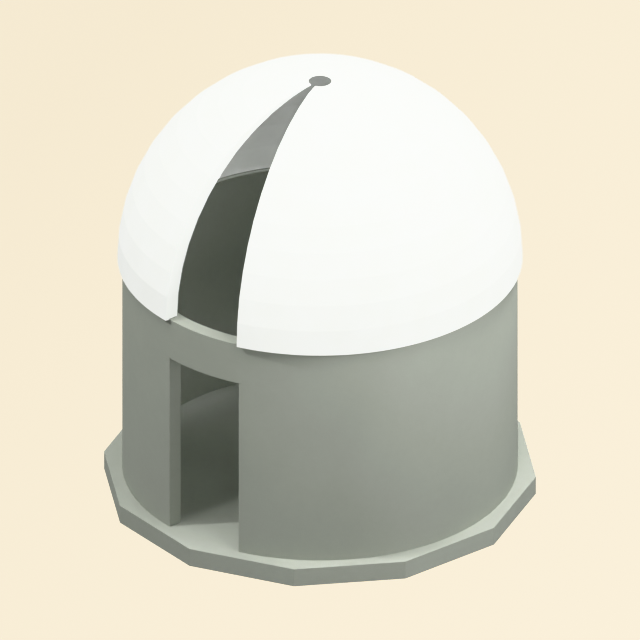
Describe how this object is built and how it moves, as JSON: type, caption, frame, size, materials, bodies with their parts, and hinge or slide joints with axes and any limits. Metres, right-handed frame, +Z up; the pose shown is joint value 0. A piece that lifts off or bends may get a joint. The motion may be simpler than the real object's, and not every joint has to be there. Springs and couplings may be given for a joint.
{
  "type": "observatory dome",
  "caption": "Small round observatory: a hollow concrete drum with an open doorway on a twelve-sided slab, under a white hemispherical dome with a slit that turns on the wall.",
  "frame": {"origin": "centre of the foundation slab's underside, on the dome's turning axis", "axes": "+Z up along the dome's turning axis, -Y towards the doorway and the dome's slit at rest, +X to the right seen from the doorway"},
  "size_m": [4.4, 4.4, 4.6325],
  "materials": {
    "concrete": "matt, fine rendered concrete",
    "gelcoat": "satin white gelcoat on glass fibre",
    "slide_plastic": "smooth black slide plastic"
  },
  "bodies": {
    "building": {"foundation_slab": "concrete", "wall_segment_01": "concrete", "wall_segment_02": "concrete", "wall_segment_03": "concrete", "wall_segment_04": "concrete", "wall_segment_05": "concrete", "wall_segment_06": "concrete", "wall_segment_07": "concrete", "wall_segment_08": "concrete", "wall_segment_09": "concrete", "wall_segment_10": "concrete", "wall_segment_11": "concrete", "door_jamb_left": "concrete", "door_jamb_right": "concrete", "door_lintel": "concrete", "guide_shoe_1": "slide_plastic", "guide_shoe_2": "slide_plastic", "guide_shoe_3": "slide_plastic", "guide_shoe_4": "slide_plastic", "guide_shoe_5": "slide_plastic", "guide_shoe_6": "slide_plastic"},
    "dome": {"rim_section_1": "gelcoat", "rim_section_2": "gelcoat", "rim_section_3": "gelcoat", "rim_section_4": "gelcoat", "slit_arch_left": "gelcoat", "slit_arch_right": "gelcoat", "dome_gore_01": "gelcoat", "dome_gore_02": "gelcoat", "dome_gore_03": "gelcoat", "dome_gore_04": "gelcoat", "dome_gore_05": "gelcoat", "dome_gore_06": "gelcoat", "dome_gore_07": "gelcoat", "dome_gore_08": "gelcoat", "dome_gore_09": "gelcoat", "dome_gore_10": "gelcoat", "dome_gore_11": "gelcoat", "crown_ring": "gelcoat"}
  },
  "joints": [
    {"name": "dome_turn", "type": "hinge", "parent": "building", "child": "dome", "pos_m": [0, 0, 2.6], "axis": [0, 0, 1], "continuous": true}
  ]
}
